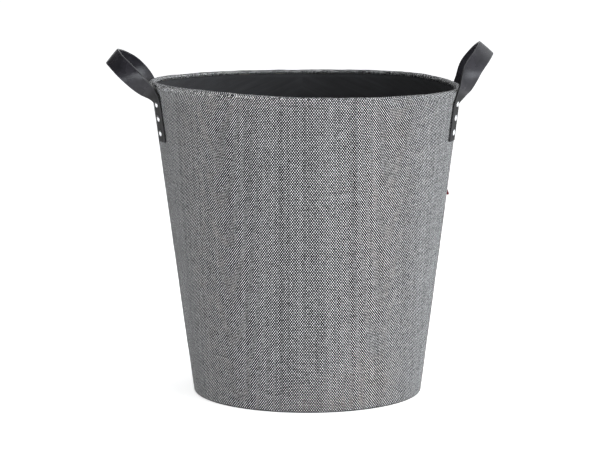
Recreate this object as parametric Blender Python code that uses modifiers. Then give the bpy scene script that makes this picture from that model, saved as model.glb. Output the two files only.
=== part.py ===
"""Round, tapered storage bin: a stiff board tub covered in woven fabric, with two leather strap handles.

Metres, +Z up. The origin is the centre of the base, on the surface that the bin stands on.
The handles are on the left (-X) and the right (+X), and the front is -Y.
"""

import math

import bmesh
import bpy
from mathutils import Matrix, Vector

# Driving dimensions
BIN_HEIGHT = 0.380
BASE_RADIUS = 0.140  # outer face of the fabric at floor level
RIM_RADIUS = 0.1888  # the same cone carried up to the rim's height
GAP = 0.0003  # between pieces that touch on the real bin
FABRIC = 0.0016
BOARD = 0.0030
LINING = 0.0010
SIDES = 72  # facets round every turned layer, so that the layers stay parallel

# Rim: the outer fabric folds over the top of the wall board and ends in a hem inside
LIP_RADIUS = 0.190  # widest radius of the bin
LIP_ROUND = 0.0030
LIP_DEPTH = 0.0130  # from the top of the rim to where the lip has faded into the side
HEM_DEPTH = 0.0045  # from the top of the rim to the hem's lower edge

# Base
COVER = 0.0012
COVER_RADIUS = 0.128
EDGE_ROUND = 0.0040
TURN_UNDER = 0.018  # fabric folded in under the base

# Strap handles
STRAP_WIDTH = 0.022
STRAP = 0.0025
LEG_BOTTOM = 0.3145
LEG_TOP = 0.3635  # where the strap starts to bend away from the wall
LEG_ANGLE = math.radians(15.5)  # from the middle of the handle to the middle of each leg
HANDLE_TURN = math.radians(2.5)  # both handles sit this far forward of the widest line
HINGE_OUT = 0.1880  # the loop swings about a level line through both of its bends
HINGE_ACROSS = 0.0505  # from the middle of the handle to the middle of each bend
HINGE_Z = 0.3685
END_GAP = 0.0014  # between a leg and the loop's rounded end, so that the loop can hang
STEPS_PER_SPAN = 5

# Half of each handle's loop, from the bend to the middle of the grip: outward, across and up from the
# hinge line, in millimetres, with the strap's twist and the loop's slope in degrees.
LEFT_ROUTE = [
    (0.0, -50.5, 0.0, 0, 40),
    (9.6, -50.5, 10.5, 55, 40),
    (26.6, -45.0, 26.0, 86, 40),
    (41.6, -29.0, 40.0, 90, 40),
    (48.1, 0.0, 46.2, 90, 40),
]
RIGHT_ROUTE = [
    (0.0, -50.5, 0.0, 0, 58),
    (5.4, -50.5, 12.5, 48, 58),
    (13.4, -45.0, 31.7, 86, 56),
    (25.4, -29.0, 47.7, 90, 52),
    (31.1, 0.0, 54.7, 90, 49),
]

# Rivets
RIVET_HEIGHTS = (0.3250, 0.3425, 0.3595)
CAP_RADIUS = 0.00375
CAP_HEIGHT = 0.0015
POST_RADIUS = 0.0015
HOLE_RADIUS = POST_RADIUS + GAP
BURR_RADIUS = 0.0045
BURR = 0.0010
POST_PROUD = 0.0006  # past the burr
RIVET_SIDES = 12

# Side tab, sewn into the sleeve's seam
TAB_HEIGHT = 0.246
TAB_SIZE = (0.0045, 0.0010, 0.0080)

SLOPE = math.atan2(RIM_RADIUS - BASE_RADIUS, BIN_HEIGHT)


def outer_radius(z):
    """Radius of the fabric's outer face on the straight side."""
    return BASE_RADIUS + (RIM_RADIUS - BASE_RADIUS) * z / BIN_HEIGHT


# Places that several pieces share
TURNED_Z = COVER + GAP  # underside of the folded fabric
BASE_BOARD_Z = TURNED_Z + FABRIC + GAP
FLOOR_Z = BASE_BOARD_Z + BOARD + GAP  # underside of the lining
EDGE_CENTRE_Z = TURNED_Z + EDGE_ROUND
WALL_TOP_Z = BIN_HEIGHT - LIP_ROUND
HEM_Z = BIN_HEIGHT - HEM_DEPTH
BOARD_INSET = FABRIC + GAP
LINING_INSET = BOARD_INSET + BOARD + GAP
HEM_INSET = LINING_INSET + FABRIC  # the hem lies on the board, above the lining


def clear_scene():
    for obj in list(bpy.data.objects):
        bpy.data.objects.remove(obj)


def make_collection(name):
    collection = bpy.data.collections.new(name)
    bpy.context.scene.collection.children.link(collection)
    return collection


def make_material(name, colour, roughness, metallic=0.0):
    material = bpy.data.materials.new(name)
    material.use_nodes = True
    shader = material.node_tree.nodes["Principled BSDF"]
    shader.inputs["Base Color"].default_value = (*colour, 1.0)
    shader.inputs["Roughness"].default_value = roughness
    shader.inputs["Metallic"].default_value = metallic
    return material


def add_object(name, mesh, collection, material=None):
    obj = bpy.data.objects.new(name, mesh)
    collection.objects.link(obj)
    if material:
        mesh.materials.append(material)
    return obj


def profile_mesh(name, points, closed=True):
    """An outline in the XZ plane, for a Screw modifier."""
    mesh = bpy.data.meshes.new(name)
    edges = [(i, i + 1) for i in range(len(points) - 1)]
    if closed:
        edges.append((len(points) - 1, 0))
    mesh.from_pydata([(r, 0.0, z) for r, z in points], edges, [])
    return mesh


def turned(name, points, collection, material, steps=SIDES, closed=True):
    """A turned piece: the outline runs down its outer side, from top to bottom."""
    obj = add_object(name, profile_mesh(name, points, closed), collection, material)
    screw = obj.modifiers.new("Turn", "SCREW")
    screw.axis = "Z"
    screw.steps = steps
    screw.render_steps = steps
    screw.use_merge_vertices = True
    screw.merge_threshold = 0.00001
    screw.use_smooth_shade = True
    return obj


def arc(centre, radius, start, end, steps=4):
    """Points (r, z) round a centre, with the angles in degrees from outward."""
    points = []
    for i in range(steps + 1):
        angle = math.radians(start + (end - start) * i / steps)
        points.append((centre[0] + radius * math.cos(angle), centre[1] + radius * math.sin(angle)))
    return points


def ring_outline(outer_inset, thickness, bottom, top):
    """Cross-section of a plain layer of the wall."""
    outer, inner = outer_inset, outer_inset + thickness
    return [
        (outer_radius(top) - outer, top),
        (outer_radius(bottom) - outer, bottom),
        (outer_radius(bottom) - inner, bottom),
        (outer_radius(top) - inner, top),
    ]


def disc_outline(radius, bottom, thickness):
    return [(0.0, bottom + thickness), (radius, bottom + thickness), (radius, bottom), (0.0, bottom)]


def sleeve_outline():
    """Cross-section of the outer fabric: hem, rim, side, rounded lower edge and fold under the base."""
    hem_radius = outer_radius(HEM_Z) - HEM_INSET
    lip_z = BIN_HEIGHT - LIP_ROUND
    blend_z = BIN_HEIGHT - LIP_DEPTH
    inner_corner = (hem_radius + LIP_ROUND, lip_z)
    outer_corner = (LIP_RADIUS - LIP_ROUND, lip_z)
    edge = (outer_radius(EDGE_CENTRE_Z) - EDGE_ROUND, EDGE_CENTRE_Z)
    fold_radius = BASE_RADIUS - TURN_UNDER
    outline = [(hem_radius, HEM_Z)]
    outline += arc(inner_corner, LIP_ROUND, 180, 90)
    outline += arc(outer_corner, LIP_ROUND, 90, 0)
    outline.append((outer_radius(blend_z), blend_z))
    outline += arc(edge, EDGE_ROUND, 0, -90)
    outline.append((fold_radius, TURNED_Z))
    outline.append((fold_radius, TURNED_Z + FABRIC))
    outline += arc(edge, EDGE_ROUND - FABRIC, -90, 0)
    outline.append((outer_radius(blend_z) - FABRIC, blend_z))
    outline += arc(outer_corner, LIP_ROUND - FABRIC, 0, 90)
    outline += arc(inner_corner, LIP_ROUND - FABRIC, 90, 180)
    outline.append((hem_radius + FABRIC, HEM_Z))
    return outline


def make_tub(parts, looks):
    """The layers of the wall and base. Returns the ones that the rivets go through."""
    cloth = turned("outer_sleeve", sleeve_outline(), parts, looks["tweed"])
    board = ring_outline(BOARD_INSET, BOARD, EDGE_CENTRE_Z, WALL_TOP_Z)
    wall = turned("wall_board", board, parts, looks["board"])
    inner = ring_outline(LINING_INSET, LINING, FLOOR_Z, HEM_Z - GAP)
    lining = turned("wall_lining", inner, parts, looks["lining"])
    board_radius = outer_radius(FLOOR_Z) - LINING_INSET - 2 * GAP
    turned("base_board", disc_outline(board_radius, BASE_BOARD_Z, BOARD), parts, looks["board"], closed=False)
    floor_radius = outer_radius(FLOOR_Z) - LINING_INSET - LINING - GAP
    turned("base_lining", disc_outline(floor_radius, FLOOR_Z, LINING), parts, looks["lining"], closed=False)
    turned("base_cover", disc_outline(COVER_RADIUS, 0.0, COVER), parts, looks["lining"], closed=False)
    return [cloth, wall, lining]


def handle_frame(side):
    """Matrix from a handle's own axes (outward, across, up) to the bin's, for side -1 or +1."""
    outward = Vector((side * math.cos(HANDLE_TURN), -math.sin(HANDLE_TURN), 0.0))
    across = Vector((side * math.sin(HANDLE_TURN), math.cos(HANDLE_TURN), 0.0))
    return Matrix((outward, across, Vector((0.0, 0.0, 1.0)))).transposed()


def leg_point(z):
    """Middle of the near leg's thickness at a height, in the handle's axes."""
    radius = outer_radius(z) + GAP + STRAP / 2
    return Vector((radius * math.cos(LEG_ANGLE), -radius * math.sin(LEG_ANGLE), z))


def route_points(route):
    hinge = Vector((HINGE_OUT, 0.0, HINGE_Z))
    return [hinge + Vector(step[:3]) / 1000 for step in route]


def hermite(a, b, leave, arrive, t):
    """Point and direction at t on the cubic from a to b."""
    point = (
        a * (2 * t**3 - 3 * t**2 + 1)
        + leave * (t**3 - 2 * t**2 + t)
        + b * (3 * t**2 - 2 * t**3)
        + arrive * (t**3 - t**2)
    )
    direction = (
        a * (6 * t**2 - 6 * t)
        + leave * (3 * t**2 - 4 * t + 1)
        + b * (6 * t - 6 * t**2)
        + arrive * (3 * t**2 - 2 * t)
    )
    return point, direction.normalized()


def section(point, direction, lie, twist, slope, thickness=STRAP):
    """The strap's middle, and half of its width and of its thickness as vectors.

    lie turns the width round with the wall, twist turns it from the wall's lie to the loop's slope.
    """
    level = Vector((-math.sin(lie), -math.cos(lie), 0.0))
    edge_on = Vector((-math.sin(slope), 0.0, math.cos(slope)))
    width = level * math.cos(twist) + edge_on * math.sin(twist)
    width = (width - direction * width.dot(direction)).normalized()
    return point, width * (STRAP_WIDTH / 2), direction.cross(width) * (thickness / 2)


def route_section(route, at):
    """The strap's section at a place on half of the loop, counted in spans."""
    points = route_points(route)
    span = min(int(at), len(points) - 2)
    t = at - span
    tangents = [points[1] - points[0]]
    tangents += [(points[i + 1] - points[i - 1]) / 2 for i in range(1, len(points) - 1)]
    tangents.append(Vector((0.0, (points[-1] - points[-2]).length, 0.0)))
    point, direction = hermite(points[span], points[span + 1], tangents[span], tangents[span + 1], t)
    here, there = route[span], route[span + 1]
    twist = math.radians(here[3] + (there[3] - here[3]) * t)
    slope = math.radians(here[4] + (there[4] - here[4]) * t)
    return section(point, direction, LEG_ANGLE * min(at, 1.0), twist, slope)


def loop_sections(route):
    """From the rounded end at the front bend to the one at the back bend."""
    points = route_points(route)
    direction = (points[1] - points[0]).normalized()
    half = []
    for angle in (10, 40, 70):
        back = direction * (math.cos(math.radians(angle)) * STRAP / 2)
        thickness = STRAP * math.sin(math.radians(angle))
        half.append(section(points[0] - back, direction, 0.0, 0.0, 0.0, thickness))
    count = (len(route) - 1) * STEPS_PER_SPAN
    half += [route_section(route, i / STEPS_PER_SPAN) for i in range(count + 1)]
    return half + [mirrored(s) for s in reversed(half[:-1])]


def leg_section(z):
    up_wall = (leg_point(LEG_TOP) - leg_point(LEG_BOTTOM)).normalized()
    return section(leg_point(z), up_wall, LEG_ANGLE, 0.0, 0.0)


def leg_sections():
    """Flat on the wall, then bent outward to end just short of the hinge line."""
    hinge = Vector((HINGE_OUT, -HINGE_ACROSS, HINGE_Z))
    direction = (hinge - leg_point(LEG_TOP)).normalized()
    end = hinge - direction * (STRAP / 2 + END_GAP)
    return [leg_section(LEG_BOTTOM), leg_section(LEG_TOP), section(end, direction, 0.0, 0.0, 0.0)]


def mirrored(vectors):
    """The same section on the far half of the handle."""
    return tuple(Vector((v.x, -v.y, v.z)) for v in vectors)


def strap_mesh(name, sections, frame):
    """A strap with a rectangular section, lofted along its sections, with crisp edges."""
    mesh = bpy.data.meshes.new(name)
    bm = bmesh.new()
    rings = []
    for point, width, through in sections:
        low, high = point - width, point + width
        corners = (low - through, high - through, high + through, low + through)
        rings.append([bm.verts.new(frame @ corner) for corner in corners])
    for ring, following in zip(rings, rings[1:]):
        for i in range(4):
            j = (i + 1) % 4
            bm.faces.new((ring[i], ring[j], following[j], following[i]))
    bm.faces.new(rings[0])
    bm.faces.new(rings[-1])
    bmesh.ops.recalc_face_normals(bm, faces=bm.faces)
    for face in bm.faces:
        face.smooth = True
    for edge in bm.edges:
        edge.smooth = edge.calc_face_angle() < math.radians(40)
    bm.to_mesh(mesh)
    bm.free()
    return mesh


def rivet_frame(frame, z, far):
    """Matrix of a rivet: its +Z points out of the strap, from the strap's outer face."""
    place, width, through = mirrored(leg_section(z)) if far else leg_section(z)
    if through.x < 0:
        through = -through
    turn = (frame @ through).to_track_quat("Z", "Y").to_matrix().to_4x4()
    return Matrix.Translation(frame @ (place + through)) @ turn


def rivet_outline():
    """Domed cap and post, with the strap's face at height 0."""
    reach = wall_depth() + GAP + BURR + POST_PROUD
    dome = []
    for degrees in (0, 30, 60, 80):
        angle = math.radians(degrees)
        dome.append((CAP_RADIUS * math.sin(angle), GAP + CAP_HEIGHT * math.cos(angle)))
    return dome + [(CAP_RADIUS, GAP), (POST_RADIUS, GAP), (POST_RADIUS, -reach), (0.0, -reach)]


def wall_depth():
    """From the strap's outer face to the lining's inner face, along a rivet."""
    wall = GAP + LINING_INSET + LINING
    return STRAP + wall * math.cos(SLOPE) + 0.0002


def burr_outline():
    top = -(wall_depth() + GAP)
    return [(BURR_RADIUS, top), (BURR_RADIUS, top - BURR), (HOLE_RADIUS, top - BURR), (HOLE_RADIUS, top)]


def add_hole(bm, matrix):
    """A cylinder through the strap and the whole wall at a rivet."""
    reach = wall_depth() + BURR
    shift = Matrix.Translation((0.0, 0.0, -reach / 2))
    bmesh.ops.create_cone(
        bm,
        cap_ends=True,
        segments=RIVET_SIDES,
        radius1=HOLE_RADIUS,
        radius2=HOLE_RADIUS,
        depth=reach + 4 * BURR,
        matrix=matrix @ shift,
    )


def cut_holes(obj, cutter):
    cut = obj.modifiers.new("Rivet holes", "BOOLEAN")
    cut.operation = "DIFFERENCE"
    cut.solver = "EXACT"
    cut.object = cutter


def make_leg(parts, looks, name, frame, far, holes):
    """One riveted end of a handle's strap, with its rivets and the burrs inside the bin."""
    sections = [mirrored(s) for s in leg_sections()] if far else leg_sections()
    leg = add_object(name, strap_mesh(name, sections, frame), parts, looks["leather"])
    for number, z in enumerate(RIVET_HEIGHTS, 1):
        place = rivet_frame(frame, z, far)
        add_hole(holes, place)
        rivet = turned(f"{name}_rivet_{number}", rivet_outline(), parts, looks["metal"], RIVET_SIDES, False)
        burr = turned(f"{name}_burr_{number}", burr_outline(), parts, looks["metal"], RIVET_SIDES)
        rivet.matrix_world = place
        burr.matrix_world = place
    return leg


def make_handle(parts, looks, name, side, route, holes):
    """One handle: a loop that swings about the hinge line, and two fixed legs."""
    frame = handle_frame(side)
    hinge = frame @ Vector((HINGE_OUT, 0.0, HINGE_Z))
    mesh = strap_mesh(name + "_loop", loop_sections(route), frame)
    mesh.transform(Matrix.Translation(-hinge))
    loop = add_object(name + "_loop", mesh, parts, looks["leather"])
    loop.location = hinge
    front = make_leg(parts, looks, name + "_front_leg", frame, False, holes)
    back = make_leg(parts, looks, name + "_back_leg", frame, True, holes)
    return [front, back]


def make_tab(parts, looks):
    """Small folded tab that stands out of the side seam."""
    mesh = bpy.data.meshes.new("side_tab")
    bm = bmesh.new()
    bmesh.ops.create_cube(bm, size=1.0)
    bmesh.ops.scale(bm, vec=TAB_SIZE, verts=bm.verts)
    bm.to_mesh(mesh)
    bm.free()
    tab = add_object("side_tab", mesh, parts, looks["tab"])
    tab.rotation_euler = (0.0, SLOPE, 0.0)
    tab.location = (outer_radius(TAB_HEIGHT) + GAP + TAB_SIZE[0] / 2, 0.0, TAB_HEIGHT)


def main():
    clear_scene()
    parts = make_collection("fabric_storage_bin")
    cutters = make_collection("cutters")
    looks = {
        "tweed": make_material("tweed", (0.30, 0.30, 0.30), 0.9),
        "lining": make_material("lining", (0.03, 0.03, 0.032), 0.85),
        "board": make_material("board", (0.42, 0.36, 0.28), 0.9),
        "rod": make_material("rod", (0.08, 0.08, 0.08), 0.6),
        "leather": make_material("leather", (0.045, 0.045, 0.05), 0.45),
        "metal": make_material("metal", (0.80, 0.80, 0.82), 0.25, 1.0),
        "tab": make_material("tab", (0.35, 0.03, 0.05), 0.8),
    }
    pierced = make_tub(parts, looks)
    holes = bmesh.new()
    pierced += make_handle(parts, looks, "left_handle", -1, LEFT_ROUTE, holes)
    pierced += make_handle(parts, looks, "right_handle", 1, RIGHT_ROUTE, holes)
    make_tab(parts, looks)
    cutter_mesh = bpy.data.meshes.new("rivet_holes")
    holes.to_mesh(cutter_mesh)
    holes.free()
    cutter = add_object("rivet_holes", cutter_mesh, cutters)
    cutter.hide_render = True
    cutter.display_type = "WIRE"
    for piece in pierced:
        cut_holes(piece, cutter)


main()
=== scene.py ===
"""Looks of a round storage bin: woven fabric over a stiff tub, with two riveted leather strap handles.

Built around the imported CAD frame. Metres, +Z up, front -Y, handles on -X and +X.
"""

import math

import bmesh
import bpy
import numpy as np
from mathutils import Matrix, Vector, noise


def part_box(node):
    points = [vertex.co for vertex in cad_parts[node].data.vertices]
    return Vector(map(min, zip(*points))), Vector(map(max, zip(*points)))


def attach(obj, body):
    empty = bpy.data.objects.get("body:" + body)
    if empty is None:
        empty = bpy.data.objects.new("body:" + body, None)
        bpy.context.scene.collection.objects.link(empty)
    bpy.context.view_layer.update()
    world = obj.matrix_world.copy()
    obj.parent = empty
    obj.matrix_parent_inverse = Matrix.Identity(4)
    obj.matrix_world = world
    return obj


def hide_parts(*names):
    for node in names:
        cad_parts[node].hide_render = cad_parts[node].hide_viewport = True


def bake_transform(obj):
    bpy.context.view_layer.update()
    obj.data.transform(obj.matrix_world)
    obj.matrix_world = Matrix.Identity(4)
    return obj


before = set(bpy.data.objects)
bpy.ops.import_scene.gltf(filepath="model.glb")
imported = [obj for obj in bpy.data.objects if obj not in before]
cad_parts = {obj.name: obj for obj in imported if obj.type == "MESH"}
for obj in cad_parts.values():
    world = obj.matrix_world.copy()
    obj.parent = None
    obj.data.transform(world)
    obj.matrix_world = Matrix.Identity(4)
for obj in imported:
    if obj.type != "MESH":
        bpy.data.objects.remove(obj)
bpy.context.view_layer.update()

MM = 0.001
BIN = "bin"  # the body that the tub's new pieces and the rivets ride on

# The tub's measures, from the CAD pieces
SLEEVE_LOW, SLEEVE_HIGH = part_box("outer_sleeve")
LINING_LOW, LINING_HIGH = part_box("wall_lining")
FLOOR_LOW, FLOOR_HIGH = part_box("base_lining")
COVER_LOW, COVER_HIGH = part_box("base_cover")
BOARD_LOW, BOARD_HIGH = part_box("wall_board")
TAB_LOW, TAB_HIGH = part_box("side_tab")
BIN_HEIGHT = SLEEVE_HIGH.z
LIP_RADIUS = SLEEVE_HIGH.x

# The part's driving dimensions that those boxes don't give, and the fabric's details
BASE_RADIUS = 0.140
RIM_RADIUS = 0.1888  # the side's straight line carried up to the rim's height
FLARE = (RIM_RADIUS - BASE_RADIUS) / BIN_HEIGHT  # radius gained for each metre of height
CONE = FLARE / math.hypot(1, FLARE)  # radius gained for each metre up the slant
BASE_SLANT = BASE_RADIUS / CONE  # from the cone's tip, deep below the ground, up the side to the base
RIM_SLANT = RIM_RADIUS / CONE  # and up to the rim
FABRIC = 1.6 * MM
BOARD = 3.0 * MM
LIP_ROUND = 3.0 * MM
LIP_DEPTH = 13 * MM
HEM_DEPTH = 4.5 * MM
EDGE_ROUND = 2.6 * MM
TURN_UNDER = 18 * MM
STANDING_Z = 0.2 * MM  # underside of the fabric where the bin stands on it
HEM_Z = BIN_HEIGHT - HEM_DEPTH
HEM_RADIUS = LINING_HIGH.x - FABRIC
FOLD_RADIUS = BASE_RADIUS - TURN_UNDER  # the edge that the fabric ends in, under the base
LAP = 0.9 * MM  # how far the overlapping edge of the back seam stands up
LAP_WIDTH = 9 * MM  # and how wide it is

# The tub isn't quite true: it leans a little to the left, and its rim is uneven.
LEAN = 1.9 * MM  # leftward, from the base to the rim
# How far the rim stands up or down, in millimetres, every 45 degrees round from the back by the left
RIM_RISES = (-0.2, 1.0, 3.2, 3.8, -0.6, -3.0, -3.6, 1.4)
RISE_FROM, RISE_TO = 0.30, 0.374  # heights between which that unevenness grows to all of it

# Straps
STRAP_WIDTH = 22 * MM
STRAP = 2.5 * MM
LEG_ANGLE = math.radians(15.5)  # from the middle of a handle to the middle of its legs
HANDLE_TURN = math.radians(2.5)  # how far forward of the bin's sides both handles sit
LEG_BOTTOM = 0.3145
LEG_TOP = 0.3590  # where the strap starts to leave the wall
LEG_CLEARANCE = 0.3 * MM
RIVET_HEIGHTS = (0.3250, 0.3425, 0.3595)
CAP_RADIUS = 3.75 * MM
CAP_HEIGHT = 1.5 * MM
POST_RADIUS = 1.5 * MM
BURR_RADIUS = 4.5 * MM
BURR = 1.0 * MM
WALL_DEPTH = 6.7 * MM  # from the strap's inner face to the lining's inner face
STRAP_CORNER = 0.55 * MM
# Outside the grip, the riveted ends are also painted darker, as painted shade.
GRIP_LENGTH = 0.170  # along the strap, the part that is glossier than its riveted ends
HELD_LENGTH, FREE_LENGTH = 0.045, 0.075  # from each end: flat up to the first, cupped from the second

# Camera
CAMERA_LENS = 148.3
CAMERA_TURN = -1.25  # degrees round the bin from straight in front
CAMERA_DISTANCE = 3.0
CAMERA_HEIGHT = 0.653
CAMERA_AIM = 0.2046  # height of the point that it looks at
CAMERA_SIDE = -0.0082  # how far the camera and that point are moved to the view's right

# Studio
FLOOR_HALF = 6.0
FLOOR_GLOW = 0.80
BACK_LIGHT = 1.10  # strength of the world's light from behind the bin, then from both sides of the front
FRONT_LEFT_LIGHT = 0.07
FRONT_RIGHT_LIGHT = 1.65
WARM = (1.0, 0.955, 0.90, 1.0)
COOL = (0.96, 0.98, 1.0, 1.0)

# Half of each loop, from the wall to the middle of the grip: outward and across from the bin's middle,
# and height, in millimetres, then the strap's twist and the loop's slope in degrees.
LEFT_ROUTE = [
    (186.2, -51.0, 369.0, 25, 40),
    (197.2, -50.7, 379.0, 58, 40),
    (214.2, -45.0, 394.2, 86, 40),
    (228.2, -29.0, 407.3, 90, 40),
    (234.6, 0.0, 413.4, 90, 40),
]
LEFT_FAR_ROUTE = [
    (186.2, -51.0, 370.0, 25, 42),
    (196.2, -50.7, 384.0, 58, 42),
    (212.2, -45.0, 400.0, 86, 42),
    (227.2, -29.0, 409.5, 90, 41),
    (234.6, 0.0, 413.4, 90, 40),
]
RIGHT_ROUTE = [
    (186.2, -51.0, 369.5, 20, 58),
    (192.6, -50.7, 381.0, 48, 58),
    (200.9, -45.0, 400.0, 86, 56),
    (212.9, -29.0, 416.0, 90, 52),
    (218.7, 0.0, 423.0, 90, 49),
]
# How much of the leg's own angle round the bin the strap still has at each place of a route
ROUTE_LIES = (0.7, 0.25, 0.0, 0.0, 0.0)


def outer_radius(z):
    """Radius of the fabric's outer face on the straight side."""
    return BASE_RADIUS + FLARE * z


def settle(point):
    """A point of the true tub, moved to where the leaning one has it."""
    return Vector((point[0] - LEAN * (point[2] / BIN_HEIGHT - 0.5), point[1], point[2]))


def rim_rise(angle, z):
    """How far the fabric stands up at an angle from the back and a height, fading out below the rim."""
    place = (angle / (2 * math.pi) * len(RIM_RISES)) % len(RIM_RISES)
    first = int(place)
    near = [RIM_RISES[(first + i) % len(RIM_RISES)] for i in (-1, 0, 1, 2)]
    return between(*near, place - first) * MM * smooth(RISE_FROM, RISE_TO, z)


def between(a, b, c, d, t):
    """Catmull-Rom curve from b to c."""
    return (b * 2 + (c - a) * t + (a * 2 - b * 5 + c * 4 - d) * t**2 + (b * 3 - a - c * 3 + d) * t**3) * 0.5


def smooth(a, b, x):
    """0 below a, 1 above b, and an easy curve between."""
    t = min(max((x - a) / (b - a), 0.0), 1.0)
    return t * t * (3 - 2 * t)


def ripple(*place):
    """Smooth noise between about -1 and 1 at a place."""
    return noise.noise(Vector(place)) * 1.6


# ---------------------------------------------------------------- materials


class Nodes:
    """A node tree, built by short calls."""

    def __init__(self, tree):
        self.tree = tree

    def node(self, kind, **settings):
        made = self.tree.nodes.new("ShaderNode" + kind)
        for key, value in settings.items():
            setattr(made, key, value)
        return made

    def put(self, socket, value):
        """Link a socket to another, or set it to a plain value."""
        if isinstance(value, bpy.types.NodeSocket):
            self.tree.links.new(value, socket)
        else:
            socket.default_value = value

    def math(self, operation, a, b=0.0, c=0.0):
        made = self.node("Math", operation=operation)
        for socket, value in zip(made.inputs, (a, b, c)):
            self.put(socket, value)
        return made.outputs[0]

    def add(self, a, b):
        return self.math("ADD", a, b)

    def times(self, a, b):
        return self.math("MULTIPLY", a, b)

    def wrap(self, value, half):
        """A value brought between -half and half by whole turns."""
        return self.math("WRAP", value, half, -half)

    def centred(self, value):
        """A value from 0 to 1, moved to lie round 0."""
        return self.add(value, -0.5)

    def total(self, *parts):
        """Sum of some values, each times its share: parts are (value, share)."""
        whole = self.times(*parts[0])
        for value, share in parts[1:]:
            whole = self.add(whole, self.times(value, share))
        return whole

    def ramp(self, value, low, high, to_low=0.0, to_high=1.0, smoothly=True):
        """to_low up to low, to_high from high, and between them in between."""
        made = self.node("MapRange", interpolation_type="SMOOTHSTEP" if smoothly else "LINEAR")
        for socket, number in zip(made.inputs, (value, low, high, to_low, to_high)):
            self.put(socket, number)
        return made.outputs[0]

    def mix(self, factor, a, b):
        """Colour a where factor is 0, and b where it is 1."""
        made = self.node("Mix", data_type="RGBA")
        self.put(made.inputs["Factor"], factor)
        self.put(made.inputs[6], a)
        self.put(made.inputs[7], b)
        return made.outputs[2]

    def split(self, vector):
        """The three numbers of a vector."""
        made = self.node("SeparateXYZ")
        self.put(made.inputs[0], vector)
        return made.outputs[0], made.outputs[1], made.outputs[2]


class Shader(Nodes):
    """A material's nodes."""

    def __init__(self, name):
        self.material = bpy.data.materials.new(name)
        self.material.use_nodes = True
        super().__init__(self.material.node_tree)
        self.surface = self.tree.nodes["Principled BSDF"]

    def cloth(self):
        """The piece's own flat coordinates in metres: (along u, along v, the vector)."""
        vector = self.node("UVMap", uv_map="flat").outputs[0]
        return *self.split(vector)[:2], vector

    def place(self):
        """The piece's own coordinates in space."""
        return self.node("TexCoord").outputs["Object"]

    def vector(self, x, y, z=0.0):
        made = self.node("CombineXYZ")
        for socket, value in zip(made.inputs, (x, y, z)):
            self.put(socket, value)
        return made.outputs[0]

    def noise(self, vector, scale, detail=2.0, roughness=0.5):
        """Noise from about 0.2 to 0.8."""
        made = self.node("TexNoise")
        self.put(made.inputs["Vector"], vector)
        made.inputs["Scale"].default_value = scale
        made.inputs["Detail"].default_value = detail
        made.inputs["Roughness"].default_value = roughness
        return made.outputs[0]

    def random(self, x, y):
        """A steady random number for each whole x and y."""
        made = self.node("TexWhiteNoise", noise_dimensions="2D")
        self.put(made.inputs["Vector"], self.vector(x, y))
        return made.outputs["Value"]

    def finish(self, colour, roughness, height=None, depth=0.0, strength=1.0, **uniform):
        """Set the surface. colour and roughness may be linked, the rest are the same all over."""
        self.put(self.surface.inputs["Base Color"], colour)
        self.put(self.surface.inputs["Roughness"], roughness)
        for name, value in uniform.items():
            self.surface.inputs[name.replace("_", " ")].default_value = value
        if height is not None:
            bump = self.node("Bump")
            bump.inputs["Strength"].default_value = strength
            bump.inputs["Distance"].default_value = depth
            self.put(bump.inputs["Height"], height)
            self.put(self.surface.inputs["Normal"], bump.outputs[0])
        return self.material


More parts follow.
